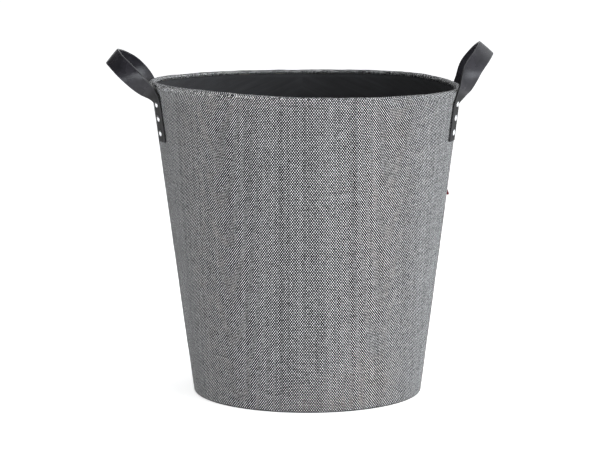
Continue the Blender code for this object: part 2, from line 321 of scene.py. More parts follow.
def tweed():
    """Thick black and white yarns in a plain weave, uneven in width and tone.

    The fabric has painted highlight specks along the rim, and painted shadow where it turns under the base.
    """
    warp_pitch, weft_pitch = 2.9 * MM, 3.85 * MM
    wander = 0.40  # how far the yarns stray, in pitches
    s = Shader("tweed")
    u, v, flat = s.cloth()
    stray_u = s.times(s.centred(s.noise(flat, 22, 1)), wander)
    stray_v = s.times(s.centred(s.noise(s.vector(v, u), 19, 1)), wander)
    x = s.add(s.times(u, 1 / warp_pitch), stray_u)
    y = s.add(s.times(v, 1 / weft_pitch), stray_v)
    lattice = s.times(
        s.math("COSINE", s.times(x, 2 * math.pi)),
        s.math("COSINE", s.times(y, 2 * math.pi)),
    )
    column = s.math("FLOOR", s.add(s.times(x, 2), 0.5))
    row = s.math("FLOOR", s.add(s.times(y, 2), 0.5))
    crossing = s.centred(s.random(column, row))
    warp_yarn = s.centred(s.random(column, 7.0))
    weft_yarn = s.centred(s.noise(s.vector(s.times(u, 9), s.times(row, 1.7)), 1.0, 1))
    streak = s.centred(s.noise(s.vector(s.times(u, 60), s.times(v, 4)), 1.0, 2))
    patch = s.centred(s.noise(s.vector(s.times(u, 0.4), v), 270, 2, 0.6))
    slant = s.math("POWER", s.add(s.times(u, u), s.times(v, v)), 0.5)
    # Painted highlight: bright specks that lighten the weave along the rim.
    near_rim = s.ramp(slant, RIM_SLANT - 6 * MM, RIM_SLANT + 1 * MM)
    rim_highlight_specks = s.times(near_rim, s.add(s.noise(flat, 330, 2), -0.46))
    pattern = s.total(
        (lattice, 1.0),
        (crossing, 0.24),
        (warp_yarn, 0.14),
        (weft_yarn, 0.20),
        (streak, 0.14),
        (patch, 0.38),
        (rim_highlight_specks, 3.2),
    )
    white_share = s.ramp(pattern, 0.465, 0.54)
    fibre = s.noise(s.vector(s.times(u, 1.0), s.times(v, 0.35)), 5200, 2)
    white = s.mix(s.ramp(fibre, 0.3, 0.7), (0.86, 0.865, 0.87, 1), (0.97, 0.975, 0.98, 1))
    dulled_white = s.mix(s.times(s.random(column, row), 0.16), white, (0.42, 0.42, 0.43, 1))
    black = s.mix(s.ramp(fibre, 0.4, 0.8), (0.005, 0.005, 0.006, 1), (0.018, 0.018, 0.020, 1))
    clean = s.mix(white_share, black, dulled_white)
    # Painted shadow: the cloth darkens over the rounded bottom edge and where it turns under the base.
    painted_base_shadow = s.ramp(slant, BASE_SLANT + 1.2 * MM, BASE_SLANT + 2.8 * MM, 0.85, 0.0)
    colour = s.mix(painted_base_shadow, clean, (0.016, 0.014, 0.016, 1))
    relief = s.math("POWER", s.math("ABSOLUTE", lattice), 0.6)
    height = s.add(relief, s.times(fibre, 0.35))
    sheen = {"Specular_IOR_Level": 0.15, "Sheen_Weight": 0.08, "Sheen_Roughness": 0.5}
    return s.finish(colour, 0.95, height, 0.25 * MM, 0.8, **sheen)


def plain_cloth(name, dark, light, pitch, slub_share=0.5, sheen=0.2):
    """Fine plain weave in one colour, with yarn relief, thick places in its yarns and faint clouds."""
    s = Shader(name)
    u, v, flat = s.cloth()
    x = s.times(u, 2 * math.pi / pitch)
    y = s.times(v, 2 * math.pi / pitch)
    weave = s.times(s.math("SINE", x), s.math("SINE", y))
    slub = s.noise(s.vector(s.times(u, 12), s.times(v, 220)), 1.0, 2)
    cloud = s.noise(flat, 14, 3, 0.6)
    tone = s.total((weave, 0.18), (slub, slub_share), (cloud, 1 - slub_share))
    colour = s.mix(s.ramp(tone, 0.2, 0.8), dark, light)
    height = s.add(s.math("ABSOLUTE", weave), s.times(slub, 0.5))
    sheens = {"Specular_IOR_Level": 0.2, "Sheen_Weight": sheen, "Sheen_Roughness": 0.4}
    return s.finish(colour, 0.9, height, 0.15 * MM, 0.8, **sheens)


def leather():
    """Smooth finished leather: fine grain, faint creases, and pale edges that are painted highlight.

    It shines along the grip, and is matt on the riveted ends, which are painted nearly black as painted
    shade.
    """
    dark, light = (0.015, 0.015, 0.018, 1), (0.030, 0.028, 0.034, 1)
    # The first colour is painted shade for the riveted ends, the second painted highlight for the edges.
    riveted, edge_highlight_colour = (0.004, 0.004, 0.0045, 1), (0.08, 0.08, 0.085, 1)
    s = Shader("strap_leather")
    u, v, flat = s.cloth()
    cells = s.node("TexVoronoi", feature="DISTANCE_TO_EDGE")
    s.put(cells.inputs["Vector"], flat)
    cells.inputs["Scale"].default_value = 1100
    grain = s.ramp(cells.outputs[0], 0.0, 0.22)
    pores = s.noise(flat, 2600, 2)
    crease = s.noise(s.vector(s.times(u, 260), s.times(v, 60)), 1.0, 3, 0.6)
    cloud = s.noise(flat, 45, 3, 0.6)
    grip_end = GRIP_LENGTH / 2
    grip = s.ramp(s.math("ABSOLUTE", u), grip_end - 5 * MM, grip_end + 12 * MM, 1.0, 0.0)
    grip_tone = s.mix(s.ramp(cloud, 0.3, 0.7), dark, light)
    # Painted shade: the riveted ends outside the grip are nearly black.
    base = s.mix(grip, riveted, grip_tone)
    face = STRAP_WIDTH + STRAP - (4 - math.pi) * STRAP_CORNER  # half of the way round the strap
    across = s.math("ABSOLUTE", s.wrap(v, face / 2))
    # Painted highlight: the strap's faces are paler along their edges, and a little rougher there.
    edge = s.ramp(across, 9.7 * MM, 10.9 * MM)
    painted_edge_highlight = s.times(edge, s.ramp(s.noise(flat, 240, 3, 0.7), 0.3, 0.7, 0.25, 1.0))
    colour = s.mix(painted_edge_highlight, base, edge_highlight_colour)
    rough = s.add(s.ramp(cloud, 0.3, 0.7, 0.22, 0.30, False), s.times(painted_edge_highlight, 0.12))
    rough = s.add(rough, s.ramp(grip, 0.0, 1.0, 0.45, 0.0))
    height = s.total((grain, 0.5), (pores, 0.25), (crease, 1.3))
    return s.finish(colour, rough, height, 0.06 * MM, 0.6, Specular_IOR_Level=0.30)


def cut_edge():
    """The strap's cut edge: layered fibres under black dye."""
    s = Shader("leather_cut_edge")
    u, v, flat = s.cloth()
    fibres = s.noise(s.vector(s.times(u, 160), s.times(v, 2400)), 1.0, 3, 0.6)
    dents = s.noise(flat, 700, 2)
    colour = s.mix(s.ramp(fibres, 0.35, 0.7), (0.012, 0.012, 0.013, 1), (0.035, 0.034, 0.036, 1))
    height = s.add(fibres, dents)
    return s.finish(colour, s.ramp(dents, 0.3, 0.7, 0.25, 0.40, False), height, 0.06 * MM, 0.5)


def metal():
    """Plated steel with fine scratches and handling marks."""
    s = Shader("rivet_metal")
    place = s.place()
    stretched = s.node("Mapping")
    s.put(stretched.inputs[0], place)
    stretched.inputs["Scale"].default_value = (1.0, 1.0, 9.0)
    scratches = s.noise(stretched.outputs[0], 900, 3, 0.7)
    marks = s.noise(place, 420, 2)
    colour = s.mix(s.ramp(marks, 0.35, 0.7), (0.86, 0.86, 0.87, 1), (0.66, 0.67, 0.69, 1))
    rough = s.ramp(scratches, 0.3, 0.75, 0.16, 0.36, False)
    return s.finish(colour, rough, scratches, 0.02 * MM, 0.5, Metallic=1.0)


def board():
    """Pulp board: grey-brown with darker flecks."""
    s = Shader("pulp_board")
    place = s.place()
    pulp = s.noise(place, 60, 4, 0.7)
    flecks = s.ramp(s.noise(place, 900, 2, 0.6), 0.60, 0.70)
    base = s.mix(s.ramp(pulp, 0.3, 0.7), (0.40, 0.34, 0.26, 1), (0.52, 0.46, 0.36, 1))
    colour = s.mix(flecks, base, (0.20, 0.16, 0.12, 1))
    return s.finish(colour, s.ramp(pulp, 0.3, 0.7, 0.85, 0.95, False), pulp, 0.2 * MM, 0.6)


def thread():
    """Twisted black sewing thread: the strands run slantwise round each stitch."""
    s = Shader("black_thread")
    u, v, flat = s.cloth()
    along, around = 0.9 * MM, 1.6 * MM
    twist = s.math("SINE", s.total((u, 2 * math.pi / along), (v, 2 * math.pi / around)))
    # Painted shade and highlight: the grooves between the strands are darker and their crowns lighter.
    colour = s.mix(s.ramp(twist, -0.8, 0.8), (0.010, 0.010, 0.011, 1), (0.045, 0.045, 0.048, 1))
    rough = s.ramp(s.noise(flat, 900, 1), 0.3, 0.7, 0.6, 0.8, False)
    return s.finish(colour, rough, twist, 0.08 * MM, 0.8)


def backdrop_paint():
    """The studio's pale floor. It glows, which leaves the bin without a shadow, as in the photograph."""
    s = Shader("studio_floor")
    tone = s.noise(s.place(), 3, 3)
    colour = s.mix(tone, (0.90, 0.90, 0.90, 1), (0.93, 0.93, 0.93, 1))
    s.put(s.surface.inputs["Emission Color"], colour)
    s.put(s.surface.inputs["Emission Strength"], FLOOR_GLOW)
    return s.finish(colour, 0.9, s.noise(s.place(), 400, 2), 0.05 * MM, 0.3, Specular_IOR_Level=0.1)


LOOKS = {
    "tweed": tweed(),
    "lining": plain_cloth(
        "lining_cloth", (0.031, 0.031, 0.032, 1), (0.058, 0.058, 0.062, 1), 1.1 * MM, sheen=0.05
    ),
    "cover": plain_cloth(
        "base_cover_cloth", (0.012, 0.012, 0.013, 1), (0.034, 0.034, 0.036, 1), 1.6 * MM, slub_share=0.3
    ),
    "tab": plain_cloth("tab_cloth", (0.085, 0.004, 0.009, 1), (0.17, 0.010, 0.019, 1), 0.8 * MM),
    "leather": leather(),
    "cut_edge": cut_edge(),
    "metal": metal(),
    "board": board(),
    "thread": thread(),
    "floor": backdrop_paint(),
}


# ---------------------------------------------------------------- meshes


def loft(name, rings, flat, look, close_rings=True, close_path=False, caps=False, edge_faces=None):
    """A skin through rings of points. flat holds (u, v) for each point, with one more where it closes.

    edge_faces is a pair: the second look, and the set of places in a ring whose faces have it.
    """
    count, around = len(rings), len(rings[0])
    vertices = [settle(point) for ring in rings for point in ring]
    faces, uvs, slots = [], [], []
    for i in range(count if close_path else count - 1):
        following = (i + 1) % count
        for j in range(around if close_rings else around - 1):
            k = (j + 1) % around
            faces.append((i * around + j, i * around + k, following * around + k, following * around + j))
            uvs += [flat[i][j], flat[i][j + 1], flat[i + 1][j + 1], flat[i + 1][j]]
            slots.append(1 if edge_faces and j in edge_faces[1] else 0)
    if caps:
        for i, order in ((0, -1), (count - 1, 1)):
            corners = list(range(around))[::order]
            faces.append(tuple(i * around + j for j in corners))
            uvs += [flat[i][j] for j in corners]
            slots.append(1 if edge_faces else 0)
    mesh = bpy.data.meshes.new(name)
    mesh.from_pydata(vertices, [], faces)
    layer = mesh.uv_layers.new(name="flat")
    layer.data.foreach_set("uv", np.array(uvs, float).ravel())
    mesh.materials.append(look)
    if edge_faces:
        mesh.materials.append(edge_faces[0])
        mesh.polygons.foreach_set("material_index", slots)
    mesh.polygons.foreach_set("use_smooth", [True] * len(faces))
    mesh.validate()
    return show(name, mesh)


def show(name, mesh):
    """Put a mesh in the scene as a piece."""
    piece = bpy.data.objects.new(name, mesh)
    bpy.context.scene.collection.objects.link(piece)
    return piece


def face_outward(piece):
    """Turn every face of a closed piece outward."""
    bm = bmesh.new()
    bm.from_mesh(piece.data)
    bmesh.ops.recalc_face_normals(bm, faces=bm.faces)
    bm.to_mesh(piece.data)
    bm.free()


def arc(centre, radius, start, end, steps):
    """Points (radius, height) round a centre, with angles in degrees from outward."""
    points = []
    for i in range(steps + 1):
        angle = math.radians(start + (end - start) * i / steps)
        points.append((centre[0] + radius * math.cos(angle), centre[1] + radius * math.sin(angle)))
    return points


def spread(start, end, step):
    """Points (radius, height) along a straight line, about a step apart, without its ends."""
    length = math.dist(start, end)
    count = max(int(round(length / step)), 1)
    return [tuple(a + (b - a) * i / count for a, b in zip(start, end)) for i in range(1, count)]


def lengths_along(points):
    """Distance from the first point to each one, from point to point."""
    lengths = [0.0]
    for a, b in zip(points, points[1:]):
        lengths.append(lengths[-1] + math.dist(a, b))
    return lengths


def line(start, end, step):
    """Points (radius, height) along a straight line, about a step apart, with its ends."""
    return [start] + spread(start, end, step) + [end]


# ---------------------------------------------------------------- tub


def azimuths(count, seam_step, seam_reach):
    """Angles round the bin from the back, closer together beside the back seam."""
    near = seam_reach / RIM_RADIUS
    fine = [i * seam_step / RIM_RADIUS for i in range(int(seam_reach / seam_step))]
    rest = 2 * math.pi - 2 * near
    coarse = [near + rest * i / count for i in range(count + 1)]
    return fine + coarse + [2 * math.pi - angle for angle in fine[:0:-1]]


def on_cone(radius, z, angle):
    """A point at an angle from the back (+Y), going round by the left (-X)."""
    return Vector((-radius * math.sin(angle), radius * math.cos(angle), z))


def cut_cloth(slant, angle):
    """Where a point of the wall lies on the flat cut: a sector of a ring, upright at the front."""
    spread_angle = (angle - math.pi) * CONE
    return (slant * math.sin(spread_angle), slant * math.cos(spread_angle))


def slants_down(outline, known, turn):
    """Distance of each point of an outline from the tip of the flat cut, and of the first point again.

    known is a point on the straight side, and from turn the outline runs up again on the other face.
    """
    slants = [0.0]
    for place, (a, b) in enumerate(zip(outline, outline[1:] + outline[:1]), 1):
        step = math.dist(a, b)
        slants.append(slants[-1] + (step if place > turn else -step))
    shift = outline[known][0] / CONE - slants[known]
    return [slant + shift for slant in slants]


def flat_cut(high, low):
    """Size of the rectangle round a flat cut, and the cut's area."""
    turn = math.pi * CONE
    return (2 * high * math.sin(turn), high - low * math.cos(turn)), turn * (high**2 - low**2)


def lap_height(across):
    """How far the overlapping edge of the back seam stands up, at a distance across it."""
    return LAP * smooth(0.0, 0.7 * MM, across) * (1 - smooth(LAP_WIDTH, LAP_WIDTH + 3 * MM, across))


def sleeve_outline():
    """Section (radius, height) of the fabric: its outer face, its inner face and the straight side's top.

    The outer face runs from the hem inside the rim to the edge under the base, and the inner face back.
    """
    lip_z = BIN_HEIGHT - LIP_ROUND
    side_z = BIN_HEIGHT - LIP_DEPTH
    edge_z = STANDING_Z + EDGE_ROUND
    inner_corner = (HEM_RADIUS + LIP_ROUND, lip_z)
    outer_corner = (LIP_RADIUS - LIP_ROUND, lip_z)
    edge = (outer_radius(edge_z) - EDGE_ROUND, edge_z)
    top, bottom = (outer_radius(side_z), side_z), (outer_radius(edge_z), edge_z)
    before_cover, over_cover = COVER_HIGH.x + 2 * MM, COVER_HIGH.x - 1 * MM
    outside = [(HEM_RADIUS + 0.5 * MM, HEM_Z - 0.1 * MM), (HEM_RADIUS + 0.1 * MM, HEM_Z + 0.4 * MM)]
    outside += [(HEM_RADIUS, HEM_Z + 1.6 * MM)]
    outside += arc(inner_corner, LIP_ROUND, 180, 90, 7)
    outside += arc(outer_corner, LIP_ROUND, 90, 0, 7)
    outside += [(LIP_RADIUS - 0.15 * MM, lip_z - 2.2 * MM), (LIP_RADIUS - 0.7 * MM, lip_z - 5.0 * MM)]
    outside += [top] + spread(top, bottom, 4 * MM)
    outside += arc(edge, EDGE_ROUND, 0, -90, 8)
    outside += [(before_cover, STANDING_Z), (COVER_HIGH.x + 0.5 * MM, SLEEVE_LOW.z - 0.2 * MM)]
    outside += [(over_cover, SLEEVE_LOW.z), (FOLD_RADIUS, SLEEVE_LOW.z)]
    inside = [(FOLD_RADIUS, SLEEVE_LOW.z + FABRIC), (over_cover, SLEEVE_LOW.z + FABRIC)]
    inside += [(before_cover, STANDING_Z + FABRIC)]
    inside += arc(edge, EDGE_ROUND - FABRIC, -90, 0, 4)
    low, high = (bottom[0] - FABRIC, edge_z), (top[0] - FABRIC, side_z)
    inside += spread(low, high, 24 * MM) + [high]
    inside += arc(outer_corner, LIP_ROUND - FABRIC, 0, 90, 4)
    inside += arc(inner_corner, LIP_ROUND - FABRIC, 90, 180, 4)
    inside += [(HEM_RADIUS + FABRIC, HEM_Z)]
    return outside, inside, top


def make_sleeve():
    """The woven fabric: hem inside, over the rim, down the side and in under the base."""
    outside, inside, top = sleeve_outline()
    outline = outside + inside
    slants = slants_down(outline, outside.index(top), len(outside))
    angles = azimuths(count=420, seam_step=0.5 * MM, seam_reach=14 * MM)
    rings, flat = [], []
    heights = [z for radius, z in outline + outline[:1]]
    for angle in angles + [2 * math.pi]:
        flat.append([cut_cloth(slant + rim_rise(angle, z), angle) for slant, z in zip(slants, heights)])
    # The rim waves and puckers, the side is dented, and the back seam's overlap stands up.
    for angle in angles:
        x, y = math.cos(angle), math.sin(angle)
        wave = 0.35 * MM * ripple(2.4 * x, 2.4 * y, 3.0) + 0.28 * MM * ripple(9 * x, 9 * y, 5.0)
        pucker = 0.16 * MM * ripple(34 * x, 34 * y, 1.0)
        ring = []
        for place, (radius, z) in enumerate(outline):
            rim = smooth(0.340, 0.376, z)
            soft = smooth(0.0, 0.03, z) * (1 - rim)
            dent = 0.30 * MM * ripple(4 * x, 4 * y, 14 * z) + 0.10 * MM * ripple(16 * x, 16 * y, 40 * z)
            out = soft * (dent + 0.10 * MM) + rim * pucker
            if place < len(outside) and z < HEM_Z - 1 * MM and radius > FOLD_RADIUS:
                out += lap_height(angle * radius)
            rise = rim_rise(angle, z)
            up = rim * (wave + pucker) + rise
            ring.append(on_cone(radius + out + FLARE * rise, z + up, angle))
        rings.append(ring)
    sleeve = loft("tweed_sleeve", rings, flat, LOOKS["tweed"], close_path=True)
    face_outward(sleeve)
    return sleeve, *flat_cut(slants[0], slants[len(outside) - 1])


def make_lining():
    """Black cloth inside the wall, slack enough to ripple a little."""
    inset = 1.0 * MM
    top, bottom = LINING_HIGH.z, LINING_LOW.z
    wall = (LINING_HIGH.x - inset, top), (LINING_HIGH.x - inset - FLARE * (top - bottom), bottom)
    face = line(*wall, 6 * MM)
    back = [(r + inset, z) for r, z in (wall[1], wall[0])]
    outline = face + back
    slants = slants_down(outline, 0, len(face))
    angles = [2 * math.pi * i / 360 for i in range(361)]
    rings = []
    for angle in angles[:-1]:
        x, y = math.cos(angle), math.sin(angle)
        ring = []
        for place, (radius, z) in enumerate(outline):
            slack = 0.55 * MM * (1 + ripple(6 * x, 6 * y, 3 * z))
            slack += 0.25 * MM * (1 + ripple(22 * x, 22 * y, 9 * z))
            held = smooth(0.0, 0.03, top - z) * smooth(0.0, 0.02, z - bottom)
            inward = max(slack, 0.0) * held if place < len(face) else 0.0
            up = rim_rise(angle, z)
            ring.append(on_cone(radius - inward + FLARE * up, z + up, angle))
        rings.append(ring)
    flat = [[cut_cloth(slant, angle) for slant in slants] for angle in angles]
    lining = loft("wall_lining_cloth", rings, flat, LOOKS["lining"], close_path=True)
    face_outward(lining)
    return lining, *flat_cut(slants[0], slants[len(face) - 1])


def make_board():
    """The stiff board inside the wall, with the same uneven top as the fabric."""
    bottom, top = BOARD_LOW.z, BOARD_HIGH.z
    outer, inner = BOARD_HIGH.x, BOARD_HIGH.x - BOARD
    drop = FLARE * (top - bottom)
    outside = line((outer, top), (outer - drop, bottom), 12 * MM)
    outline = outside + [(r - outer + inner, z) for r, z in outside[::-1]]
    rings, flat = [], []
    count = 240
    for i in range(count + 1):
        angle = 2 * math.pi * i / count
        ring = []
        for radius, z in outline:
            up = rim_rise(angle, z)
            ring.append(on_cone(radius + FLARE * up, z + up, angle))
        rings.append(ring)
        flat.append([(angle * radius, z) for radius, z in outline + outline[:1]])
    board = loft("wall_pulp_board", rings[:-1], flat, LOOKS["board"], close_path=True)
    face_outward(board)
    return board


def make_disc(name, look, radius, low, high, lift):
    """A round piece of cloth. lift raises its upper face at a place (x, y) and a radius."""
    thickness = high - low
    middle = (radius - thickness / 2, (low + high) / 2)
    fine, coarse, count = 40, 8, 180
    top = [(radius * i / fine, high) for i in range(1, fine - 1)]
    under = [(radius * i / coarse, low) for i in range(coarse - 1, 0, -1)]
    outline = top + arc(middle, thickness / 2, 90, -90, 6) + under
    rings, flat = [], []
    for i in range(count):
        angle = 2 * math.pi * i / count
        ring = []
        for place, (r, z) in enumerate(outline):
            here = on_cone(r, z, angle)
            if place < len(top):
                here.z += lift(here.x, here.y, r)
            ring.append(here)
        rings.append(ring)
        flat.append([(point.x, point.y) for point in ring + ring[:1]])
    flat.append(flat[0])
    piece = loft(name, rings, flat, look, close_rings=False, close_path=True)
    around = len(outline)
    close_middles(piece, [i * around for i in range(count)], [(i + 1) * around - 1 for i in range(count)])
    face_outward(piece)
    return piece


def close_middles(piece, *loops):
    """Fill each loop of vertices round the middle with a fan of triangles."""
    bm = bmesh.new()
    bm.from_mesh(piece.data)
    layer = bm.loops.layers.uv["flat"]
    for loop in loops:
        bm.verts.ensure_lookup_table()
        ring = [bm.verts[i] for i in loop]
        middle = bm.verts.new(sum((v.co for v in ring), Vector()) / len(ring))
        for a, b in zip(ring, ring[1:] + ring[:1]):
            face = bm.faces.new((a, b, middle))
            face.smooth = True
            for corner in face.loops:
                corner[layer].uv = corner.vert.co.xy
    bm.to_mesh(piece.data)
    bm.free()


def stitches(name, look, places, length, radius):
    """Sewing stitches: a short arched thread at each (middle, along, outward)."""
    rows, around = 7, 6
    vertices, faces, uvs = [], [], []
    for middle, along, outward in places:
        along, outward = along.normalized(), outward.normalized()
        side = along.cross(outward)
        start = len(vertices)
        for i in range(rows):
            t = i / (rows - 1)
            bow = math.sin(math.pi * t)  # each end dips into the cloth
            centre = middle + along * (length * (t - 0.5)) + outward * (radius * (1.5 * bow - 0.9))
            thick = radius * (0.45 + 0.55 * bow**0.5)
            for j in range(around):
                turn = 2 * math.pi * j / around
                away = side * math.cos(turn) + outward * math.sin(turn)
                vertices.append(centre + away * thick)
        for i in range(rows - 1):
            for j in range(around):
                k = (j + 1) % around
                a, b = start + i * around, start + (i + 1) * around
                faces.append((a + j, a + k, b + k, b + j))
                u0, u1 = length * i / (rows - 1), length * (i + 1) / (rows - 1)
                v0, v1 = radius * j, radius * (j + 1)
                uvs += [(u0, v0), (u0, v1), (u1, v1), (u1, v0)]
        for end, order in ((start, -1), (start + (rows - 1) * around, 1)):
            faces.append(tuple(end + j for j in range(around))[::order])
            uvs += [(0.0, radius * j) for j in range(around)]
    mesh = bpy.data.meshes.new(name)
    mesh.from_pydata([settle(vertex) for vertex in vertices], [], faces)
    mesh.uv_layers.new(name="flat").data.foreach_set("uv", np.array(uvs, float).ravel())
    mesh.materials.append(look)
    mesh.polygons.foreach_set("use_smooth", [True] * len(faces))
    piece = show(name, mesh)
    face_outward(piece)
    return piece


def seam_stitches():
    """Two rows down the back seam."""
    seam_length, first, pitch = 0.362, 8 * MM, 4.4 * MM
    places = []
    for across in (2.4 * MM, 6.8 * MM):
        for i in range(int(seam_length / pitch)):
            z = first + pitch * i
            radius = outer_radius(z) + lap_height(across) + 0.25 * MM
            here = on_cone(radius, z, across / radius)
            places.append((here, Vector((0, FLARE, 1)), Vector((here.x, here.y, -FLARE * radius))))
    return stitches("back_seam_stitches", LOOKS["thread"], places, 3.3 * MM, 0.42 * MM)


def hem_stitches():
    """One row round the inside hem."""
    z = HEM_Z + 1.3 * MM
    count = 250
    places = []
    for i in range(count):
        angle = 2 * math.pi * i / count
        here = on_cone(HEM_RADIUS, z + rim_rise(angle, z), angle)
        places.append((here, Vector((-here.y, here.x, 0)), Vector((-here.x, -here.y, 0))))
    return stitches("hem_stitches", LOOKS["thread"], places, 3.1 * MM, 0.36 * MM)


def base_stitches():
    """One row that holds the underside's cover to the folded fabric."""
    count = 180
    radius = COVER_HIGH.x - 4 * MM
    z = COVER_LOW.z + 0.50 * MM  # sunk into the cover, so that no stitch reaches below the floor
    places = []
    for i in range(count):
        here = on_cone(radius, z, 2 * math.pi * i / count)
        places.append((here, Vector((-here.y, here.x, 0)), Vector((0, 0, -1))))
    return stitches("base_stitches", LOOKS["thread"], places, 3.2 * MM, 0.3 * MM)


def make_tub():
    """Every cloth layer of the bin, with its stitches."""
    sleeve, sleeve_size, sleeve_area = make_sleeve()
    seam, hem, underside = seam_stitches(), hem_stitches(), base_stitches()
    tab = make_tab()
    lining, lining_size, lining_area = make_lining()
    floor_radius = FLOOR_HIGH.x
    floor = make_disc(
        "base_lining_cloth",
        LOOKS["lining"],
        floor_radius,
        FLOOR_LOW.z,
        FLOOR_HIGH.z,
        lambda x, y, r: 0.5 * MM * (1 + ripple(18 * x, 18 * y, 2.0)) * smooth(0.0, 0.03, floor_radius - r),
    )
    cover = make_disc(
        "base_cover_cloth", LOOKS["cover"], COVER_HIGH.x, COVER_LOW.z, COVER_HIGH.z, lambda x, y, r: 0.0
    )
    wall = make_board()
    for piece in (sleeve, seam, hem, underside, tab, lining, wall, floor, cover):
        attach(piece, BIN)
    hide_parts("wall_board")
    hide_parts("outer_sleeve")
    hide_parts("wall_lining")
    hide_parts("base_lining")
    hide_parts("base_cover")
    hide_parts("side_tab")


def make_tab():
    """A dark red ribbon folded in two, its ends sewn into the side, its fold standing out."""
    low, high = TAB_LOW.z, TAB_HIGH.z
    root = outer_radius((low + high) / 2) - 0.2 * MM
    reach = 3.4 * MM
    ribbon = 0.45 * MM
    step = 0.35 * MM  # of the cloth, from one point of a ring to the next
    count, around = 14, 24
    rings, flat = [], []
    for i in range(count + 1):
        t = i / count
        z = low + (high - low) * t
        out = reach * (1.0 - 0.6 * smooth(0.1, 1.0, t))
        lean = 0.5 * MM * math.sin(2.2 * t)
        ring, row = [], []
        for j in range(around):
            angle = 2 * math.pi * j / around
            nose = max(math.cos(angle), 0.0)
            x = root + (out - ribbon) * (0.5 + 0.5 * math.cos(angle)) + ribbon * nose
            y = lean + ribbon * math.sin(angle) * (1.0 + 0.35 * math.cos(angle))
            ring.append(Vector((x, y, z + 0.3 * MM * nose * (0.5 - t))))
            row.append((j * step, z))
        rings.append(ring)
        flat.append(row + [(around * step, z)])
    tab = loft("side_tab_ribbon", rings, flat, LOOKS["tab"], caps=True)
    face_outward(tab)
    return tab


# ---------------------------------------------------------------- handles


def handle_frame(side):
    """Matrix from a handle's own axes (outward, across, up) to the bin's, for side -1 or +1."""
    outward = Vector((side * math.cos(HANDLE_TURN), -math.sin(HANDLE_TURN), 0.0))
    across = Vector((side * math.sin(HANDLE_TURN), math.cos(HANDLE_TURN), 0.0))
    return Matrix((outward, across, Vector((0.0, 0.0, 1.0)))).transposed()


def leg_point(z):
    """Middle of the near leg's thickness at a height, in the handle's axes."""
    radius = outer_radius(z) + LEG_CLEARANCE + STRAP / 2
    return Vector((radius * math.cos(LEG_ANGLE), -radius * math.sin(LEG_ANGLE), z))


def strap_keys(route):
    """Places (point, lie, twist, slope) along half of a handle, from the leg's end to the grip's middle."""
    steps = 8
    keys = []
    for i in range(steps):
        z = LEG_BOTTOM + (LEG_TOP - LEG_BOTTOM) * i / (steps - 1)
        keys.append((leg_point(z), LEG_ANGLE, 0.0, math.radians(route[0][4])))
    for place, (out, across, height, twist, slope) in enumerate(route):
        lie = LEG_ANGLE * ROUTE_LIES[place]
        keys.append((Vector((out, across, height)) * MM, lie, math.radians(twist), math.radians(slope)))
    return keys


def mirrored(v):
    """A vector on the other side of a handle's middle."""
    return Vector((v.x, -v.y, v.z))


def strap_sections(near_route, far_route):
    """Middle, width direction and outward direction all along a handle's strap."""
    far = [tuple(mirrored(v) for v in section) for section in half_sections(far_route)]
    return half_sections(near_route) + far[-2::-1]


def half_sections(route):
    """The strap's sections from the near leg's end to the middle of the grip."""
    keys = strap_keys(route)
    far = [(mirrored(p), lie, twist, slope) for p, lie, twist, slope in keys[-2:-1]]
    keys = [(keys[0][0] * 2 - keys[1][0], *keys[0][1:])] + keys + far
    half = []
    for i in range(1, len(keys) - 2):
        a, b, c, d = keys[i - 1 : i + 3]
        steps = max(int(math.dist(b[0], c[0]) / (1.2 * MM)), 1)
        for step in range(steps):
            half.append([between(*(key[n] for key in (a, b, c, d)), step / steps) for n in range(4)])
    half.append(list(keys[-2]))
    points = [h[0] for h in half]
    points = [points[0] * 2 - points[1]] + points + [mirrored(points[-2])]
    sections = []
    for i, (point, lie, twist, slope) in enumerate(half):
        direction = (points[i + 2] - points[i]).normalized()
        level = Vector((-math.sin(lie), -math.cos(lie), 0.0))
        edge_on = Vector((-math.sin(slope), 0.0, math.cos(slope)))
        width = level * math.cos(twist) + edge_on * math.sin(twist)
        width = (width - direction * width.dot(direction)).normalized()
        sections.append((point, width, direction.cross(width)))
    return sections


def strap_outline():
    """Section (across, through) from the middle of the outer face round to it again."""
    half_width, half = STRAP_WIDTH / 2, STRAP / 2
    face = [half_width * i / 6 for i in range(6)]
    corner = []
    for through, start in ((1, 90), (-1, 0)):
        centre = (half_width - STRAP_CORNER, through * (half - STRAP_CORNER))
        corner += arc(centre, STRAP_CORNER, start, start - 90, 3)
    near = [(x, half) for x in face] + corner + [(x, -half) for x in face[::-1]]
    return near + [(-x, through) for x, through in near[-2:0:-1]]


def make_strap(name, side, routes, phase):
    """One handle: a single strap riveted flat to the wall at both ends and twisted up into the grip."""
    to_bin = handle_frame(side)
    outline = strap_outline()
    sections = strap_sections(*routes)
    lengths = lengths_along([point for point, width, through in sections])
    around = lengths_along(outline + outline[:1])
    rings, flat = [], []
    for (point, width, through), length in zip(sections, lengths):
        from_end = min(length, lengths[-1] - length)
        free = smooth(HELD_LENGTH, FREE_LENGTH, from_end)
        ring = []
        for across, thick in outline:
            cup = 0.35 * MM * (2 * across / STRAP_WIDTH) ** 2 * free
            uneven = 0.10 * MM * ripple(length * 70, across * 60, phase) * (0.2 + 0.8 * free)
            waver = 0.20 * MM * ripple(length * 45, phase, math.copysign(4.0, across)) * free
            sideways = across * (1 + 2 * waver / STRAP_WIDTH)
            ring.append(to_bin @ (point + width * sideways + through * (thick + uneven - cup)))
        rings.append(ring)
        flat.append([(length - lengths[-1] / 2, s) for s in around])
    half_round = around[-1] / 2
    edges = set()
    for j in range(len(outline)):
        middle = (around[j] + around[j + 1]) / 2
        from_face_middle = abs((middle + half_round / 2) % half_round - half_round / 2)
        if from_face_middle > STRAP_WIDTH / 2 - 0.4 * MM:
            edges.add(j)
    strap = loft(name, rings, flat, LOOKS["leather"], caps=True, edge_faces=(LOOKS["cut_edge"], edges))
    face_outward(strap)
    return strap


# ---------------------------------------------------------------- rivets


